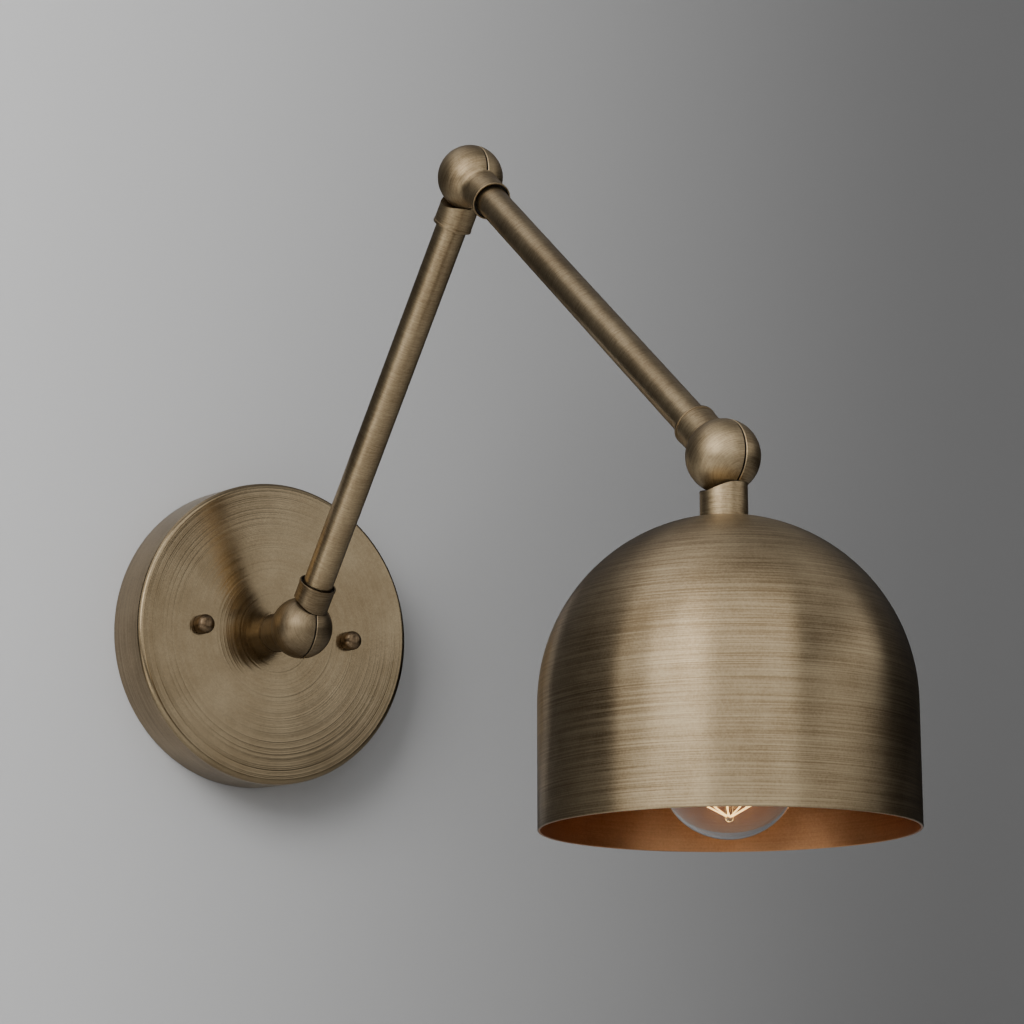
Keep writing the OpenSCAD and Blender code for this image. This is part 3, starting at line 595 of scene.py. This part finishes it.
bell.to(inner_r, dome_z).arc(0, dome_z, inner_sweep, 48).to(nipple_hole_r, shade_top + shade_wall)
bell_brass = aged_brass("brushed_shade_brass", head_ball, shade_turn, line=0.4, strokes=1.3,
                        stain=1.7, spread=0.8)
# Copper-orange inside: painted warm light of the lit bulb.
lamplight_copper = aged_brass("shade_inside_painted_lamplight", head_ball, shade_turn, line=0.5, stain=0.6,
                    light=(0.60, 0.31, 0.145, 1), dark=(0.34, 0.155, 0.065, 1))
bell_mesh = bell.spin(steps=192)
for face in bell_mesh.faces:
    middle = face.calc_center_median()
    if Vector((middle.x, middle.y, min(middle.z - dome_z, 0))).length < inner_r + shade_wall / 2:
        face.material_index = 1
bell_shade = piece("bell_shade", laid(bell_mesh, head_ball, shade_turn), bell_brass,
                   "lamp_head", "antique_brass", "shade")
bell_shade.data.materials.append(lamplight_copper)


# Lamp holder. A brass cap is locked on the nipple under the shade's crown, and a moulded body
# with a screw shell sits in it. Only its underside can be seen, up inside the bell.
holder_white = moulded("holder_plastic", (0.62, 0.58, 0.50, 1), rough=0.4)
for node, finish, slot in (
        ("shade_nipple", bare_brass, "plain_brass"),
        ("shade_lock_washer", zinc, "zinc_steel"), ("shade_lock_nut", bare_brass, "plain_brass"),
        ("socket_screw_shell", bare_brass, "plain_brass"),
        ("socket_contact", bare_brass, "plain_brass"), ("head_leads", lead_cover, "lead_cover")):
    dressed(node + "_piece", node, finish, "lamp_head", slot)
cap_r = 17.5
cap_wall = 1
cap_z = 31.7
cap_h = 13
cap_shoulder = 4
hub_r = 7
hub_z = 27.3
nipple_r = 4.94
cap = Outline(nipple_r, hub_z).to(hub_r, hub_z, 0.4).to(hub_r, cap_z).to(cap_r, cap_z, cap_shoulder)
cap.to(cap_r, cap_z + cap_h, 0.3).to(cap_r - cap_wall, cap_z + cap_h, 0.3)
cap.to(cap_r - cap_wall, cap_z + cap_wall, cap_shoulder - cap_wall)
cap.to(nipple_r, cap_z + cap_wall)
holder_brass = aged_brass("holder_cap_brass", head_ball, shade_turn, rough=0.34)
piece("holder_cap", laid(cap.spin(steps=96, segments=6), head_ball, shade_turn), holder_brass,
      "lamp_head", "plain_brass", "socket_cap")
body_r = 16.47
body_z = 32.7
body_floor = 43.7
body_end = 67.7
body_wall = 2.2
body = Outline(0, body_z).to(body_r, body_z, 3).to(body_r, body_end, 0.8)
body.to(body_r - body_wall, body_end, 0.6).to(body_r - body_wall, body_floor).to(0, body_floor)
piece("holder_body", laid(body.spin(steps=96), head_ball, shade_turn), holder_white,
      "lamp_head", "holder_plastic", "socket_body")


# Bulb. A clear blown globe on a short neck is cemented in a screw base of thin nickelled brass,
# with black glass round its contact. The globe's edge shows as a grey rim line.
globe_r = 23.8
globe_z = 104.3
glass_neck_r = 12
glass_fillet = 8
glass_wall = 0.8
glass_z = 52.9
globe_centre = along(head_ball, shade_turn, globe_z)
glass_end = globe_z - glass_z
globe = ball_into_neck(globe_r, glass_neck_r, glass_fillet, 40)
globe.to(glass_neck_r, glass_end).to(glass_neck_r - glass_wall, glass_end)
out, up, lean = fillet_place(globe_r, glass_neck_r, glass_fillet)
globe.to(glass_neck_r - glass_wall, up).arc(out, up, lean - 90, 8).arc(0, 0, 180 - lean, 40)
glass, start = new_finish("clear_bulb_glass")
place = start.node("ShaderNodeTexCoord", out="Object")
waves = start.node("ShaderNodeTexNoise", {}, {"Vector": place, "Scale": 40, "Detail": 1})
ripple = start.node("ShaderNodeBump", {}, {
    "Strength": 0.05, "Distance": 0.0005, "Height": waves})
shader = start.node("ShaderNodeBsdfPrincipled", {}, {
    "Base Color": (0.97, 0.98, 0.98, 1), "Roughness": 0.01 + waves * 0.01,
    "IOR": 1.47, "Transmission Weight": 1, "Normal": ripple})
start.node("ShaderNodeOutputMaterial", {}, {"Surface": shader})
piece("bulb_globe", laid(globe.spin(steps=96), globe_centre, shade_turn + 180), glass,
      "lamp_head", "clear_glass", "bulb_glass")
nickel = plated("bulb_base_nickel", (0.62, 0.60, 0.55, 1), rough=0.25)
black_glass = moulded("black_bulb_glass", (0.012, 0.012, 0.014, 1), rough=0.15)
dressed("bulb_screw_base", "bulb_base", nickel, "lamp_head", "bulb_base_metal")
dressed("bulb_black_glass", "bulb_insulator", black_glass, "lamp_head", "bulb_insulator_glass")
dressed("bulb_contact", "bulb_tip", nickel, "lamp_head", "bulb_base_metal")
seal_r = 11.17
flare_r = 6
foot_r = 4
foot_end = 66.9
rod_r = 1.3
cage_low = 121.1
cage_high = 91.1
flare_l = 7
bulge = 0.9
bulge_l = 2
stem = Outline(0, glass_z).to(seal_r, glass_z).to(seal_r, glass_z + glass_wall)
stem.to(flare_r, glass_z + glass_wall, 0.5).to(foot_r, glass_z + flare_l, 2)
stem.to(foot_r, foot_end, 1.5).to(rod_r, foot_end, 1).to(rod_r, cage_high - bulge_l, 0.6)
stem.to(rod_r + bulge, cage_high, 1).to(rod_r, cage_high + bulge_l, 0.6)
stem.to(rod_r, cage_low + rod_r, 1).to(0, cage_low + rod_r)
piece("bulb_glass_stem", laid(stem.spin(steps=48), head_ball, shade_turn), glass,
      "lamp_head", "clear_glass", "bulb_stem")


# Filament. Thin metal strands run up and down between two rings of support wires, which fan out
# from a bead at each end of the glass rod. It is lit.
filament_r = 0.22
support_r = 0.27
bead_r = 0.35
hub_bead_r = 1
strands = 16
cage_low_r = 7
cage_high_r = 8
support_lean = 3.8


def rod(mesh, low, high, radius):
    """Add a thin round rod between two points in mm."""
    run = high - low
    place = Matrix.Translation((low + high) / 2) @ run.to_track_quat("Z", "Y").to_matrix().to_4x4()
    bmesh.ops.create_cone(mesh, cap_ends=True, segments=10, radius1=radius, radius2=radius,
                          depth=run.length, matrix=place)


def cage_point(turn):
    """Where a strand turns on a support wire, on the lower ring and the upper ring by turns."""
    angle = 2 * pi * turn / strands
    far, level = (cage_high_r, cage_high) if turn % 2 else (cage_low_r, cage_low)
    return Vector((far * cos(angle), far * sin(angle), level - support_lean))


wires = bmesh.new()
strand = bmesh.new()
for turn in range(strands):
    bead = cage_point(turn)
    hub = Vector((0, 0, cage_high if turn % 2 else cage_low))
    aim = (bead - hub).normalized()
    rod(wires, hub + aim * hub_bead_r, bead - aim * bead_r, support_r)
    bmesh.ops.create_uvsphere(strand, u_segments=12, v_segments=8, radius=bead_r,
                              matrix=Matrix.Translation(bead))
    if turn:
        rod(strand, cage_point(turn - 1), bead, filament_r)
glowing, start = new_finish("lit_filament_wire")
place = start.node("ShaderNodeTexCoord", out="Object")
coil = start.node("ShaderNodeTexWave", {"bands_direction": "Z"}, {
    "Vector": place, "Scale": 700, "Distortion": 0})
shader = start.node("ShaderNodeBsdfPrincipled", {}, {
    "Base Color": coil.between((0.55, 0.42, 0.25, 1), (0.95, 0.80, 0.55, 1)), "Metallic": 1,
    "Roughness": 0.3, "Emission Color": coil.between((1, 0.52, 0.14, 1), (1, 0.68, 0.26, 1)),
    "Emission Strength": 3})
start.node("ShaderNodeOutputMaterial", {}, {"Surface": shader})
piece("filament_strands", laid(strand, head_ball, shade_turn), glowing,
      "lamp_head", "filament_metal", "filament")
piece("filament_support_wires", laid(wires, head_ball, shade_turn), glowing,
      "lamp_head", "filament_metal", "filament_supports")


# Studio. A pale wall, whose colour is painted darker to the right as a painted falloff of the
# light, as in the photograph, stands over a plain pale floor, with a grey shell far behind. The
# wall is clear from its back, and the metal mirrors only a patch of it round the plate.
patch_hole_r = 0.055
patch_r = 0.09
wall_y = 0.0006
wall_r = 6
floor_z = -0.6
floor_r = 7
shell_r = 8


def staged(name, mesh, finish):
    """Make a finished mesh a part of the studio."""
    data = bpy.data.meshes.new(name)
    mesh.to_mesh(data)
    mesh.free()
    data.materials.append(finish)
    thing = bpy.data.objects.new(name, data)
    bpy.context.scene.collection.objects.link(thing)
    return thing


def flat(name, inner, outer, place, turn, finish, mirrored=True):
    """A round flat of the studio, with a hole if it has an inner radius."""
    disc = bmesh.new()
    if inner:
        ends = [disc.verts.new((radius, 0, 0)) for radius in (inner, outer)]
        disc.edges.new(ends)
        bmesh.ops.spin(disc, geom=disc.verts[:] + disc.edges[:], cent=(0, 0, 0), axis=(0, 0, 1),
                       angle=2 * pi, steps=128, use_merge=True)
        bmesh.ops.recalc_face_normals(disc, faces=disc.faces)
    else:
        bmesh.ops.create_circle(disc, cap_ends=True, segments=128, radius=outer)
    if disc.faces[:][0].normal.z < 0:
        bmesh.ops.reverse_faces(disc, faces=disc.faces)
    fit = Matrix.Translation(place) @ Matrix.Rotation(radians(turn), 4, "X")
    bmesh.ops.transform(disc, matrix=fit, verts=disc.verts)
    staged(name, disc, finish).visible_glossy = mirrored


paint, start = new_finish("pale_wall_paint")
place = start.node("ShaderNodeTexCoord", out="Object")
parts = place.node("ShaderNodeSeparateXYZ", {}, {0: place})
# Darker to the right: a painted falloff of the light across the wall.
tone = parts.smooth(-0.41, 0.43)
rolled = start.node("ShaderNodeTexNoise", {}, {"Vector": place, "Scale": 900, "Detail": 3})
texture = start.node("ShaderNodeBump", {}, {
    "Strength": 0.05, "Distance": 0.0001, "Height": rolled})
shader = start.node("ShaderNodeBsdfPrincipled", {}, {
    "Base Color": tone.between((0.60, 0.60, 0.60, 1), (0.13, 0.13, 0.13, 1)),
    "Roughness": 0.9, "Normal": texture})
clear = start.node("ShaderNodeBsdfTransparent")
behind = start.node("ShaderNodeNewGeometry", out="Backfacing")
seen = start.node("ShaderNodeMixShader", {}, {0: behind, 1: shader, 2: clear})
start.node("ShaderNodeOutputMaterial", {}, {"Surface": seen})
flat("wall", patch_r, wall_r, (0, wall_y, 0), 90, paint, mirrored=False)
flat("wall_round_the_plate", patch_hole_r, patch_r, (0, wall_y, 0), 90, paint)
floor_paint, start = new_finish("pale_floor")
shader = start.node("ShaderNodeBsdfPrincipled", {}, {
    "Base Color": (0.40, 0.395, 0.385, 1), "Roughness": 0.7})
start.node("ShaderNodeOutputMaterial", {}, {"Surface": shader})
flat("floor", 0, floor_r, (0, 0, floor_z), 0, floor_paint)
grey, start = new_finish("grey_backdrop")
glow = start.node("ShaderNodeEmission", {}, {"Color": (0.2, 0.2, 0.2, 1), "Strength": 1})
start.node("ShaderNodeOutputMaterial", {}, {"Surface": glow})
grey.cycles.emission_sampling = "NONE"
shell = bmesh.new()
bmesh.ops.create_icosphere(shell, subdivisions=4, radius=shell_r)
backdrop = staged("backdrop", shell, grey)
backdrop.visible_diffuse = False
backdrop.visible_glossy = False
backdrop.visible_transmission = False
backdrop.visible_shadow = False

world = bpy.data.worlds.new("studio")
bpy.context.scene.world = world
world.use_nodes = True
world.node_tree.nodes.clear()
start = Wire(world.node_tree)
way = start.node("ShaderNodeTexCoord", out="Generated")
parts = way.node("ShaderNodeSeparateXYZ", {}, {0: way})
across, back, height = [Wire(parts.tree, parts.socket.node.outputs[axis]) for axis in range(3)]
ceiling = across.smooth(0.8, -0.5) * 0.05 + height.smooth(0, 1) * 0.2
upper_wall = across.smooth(0.3, -0.4) * back.smooth(-0.3, 0.2) * height.smooth(0.6, 0.9) * 0.75
room = (ceiling + upper_wall).between((0, 0, 0, 1), (1, 1, 1.03, 1))
glow = start.node("ShaderNodeBackground", {}, {"Color": room, "Strength": 1})
start.node("ShaderNodeOutputWorld", {}, {"Surface": glow})


middle = (0, -0.2, 0)


def softbox(name, place, wide, tall, watts, tilt=0, on_wall_only=False, only=()):
    """A large soft lamp aimed at the middle of the light. It may stay out of all reflections, or
    light only the pieces given."""
    lamp = bpy.data.lights.new(name, "AREA")
    lamp.shape = "RECTANGLE"
    lamp.size = wide
    lamp.size_y = tall
    lamp.energy = watts
    stand = bpy.data.objects.new(name, lamp)
    stand.location = place
    aim = (Vector(middle) - Vector(place)).to_track_quat("-Z", "Y").to_matrix()
    stand.rotation_euler = (aim @ Matrix.Rotation(radians(tilt), 3, "Z")).to_euler()
    stand.visible_camera = False
    stand.visible_glossy = not on_wall_only
    if only:
        lit = bpy.data.collections.new(name + "_lit")
        for thing in only:
            lit.objects.link(thing)
        stand.light_linking.receiver_collection = lit
    bpy.context.scene.collection.objects.link(stand)


softbox("left", (-1.34, -0.46, 0.65), 1.3, 1.9, 7)
softbox("key", (-1.26, -0.87, 0.45), 0.9, 0.8, 4.5)
softbox("front", (-0.74, -1.55, 0.79), 2.1, 2.4, 19)
softbox("right", (0.96, -1.72, 0.33), 2.9, 0.65, 5.2, tilt=28)
softbox("low", (-0.95, -0.30, -0.40), 0.5, 0.5, 0.7)
softbox("above", (0.72, -0.85, 1.07), 1.2, 0.7, 0.8)
softbox("back", (-0.5, 1.6, 0.6), 1, 1, 12, only=behind_plate)
softbox("wall_wash", (-1.2, -1.0, 0.75), 0.8, 0.8, 27, on_wall_only=True)


# Camera, at the photograph's place: below and to the left of the light, looking slightly up. Its
# place and lens come from the fit to the plate, the balls and the shade.
yaw = radians(32.70)
pitch = radians(10.14)
roll = radians(1.82)
ahead = Vector((sin(yaw) * cos(pitch), cos(yaw) * cos(pitch), sin(pitch)))
level = Vector((cos(yaw), -sin(yaw), 0))
upright = level.cross(ahead)
right = level * cos(roll) + upright * sin(roll)
above = upright * cos(roll) - level * sin(roll)
lens = bpy.data.cameras.new("camera")
lens.lens = 103.71
lens.sensor_width = 36
camera = bpy.data.objects.new("camera", lens)
camera.matrix_world = Matrix.Translation((-0.58085, -1.10780, -0.16467)) @ Matrix(
    (right, above, -ahead)).transposed().to_4x4()
bpy.context.scene.collection.objects.link(camera)
bpy.context.scene.camera = camera
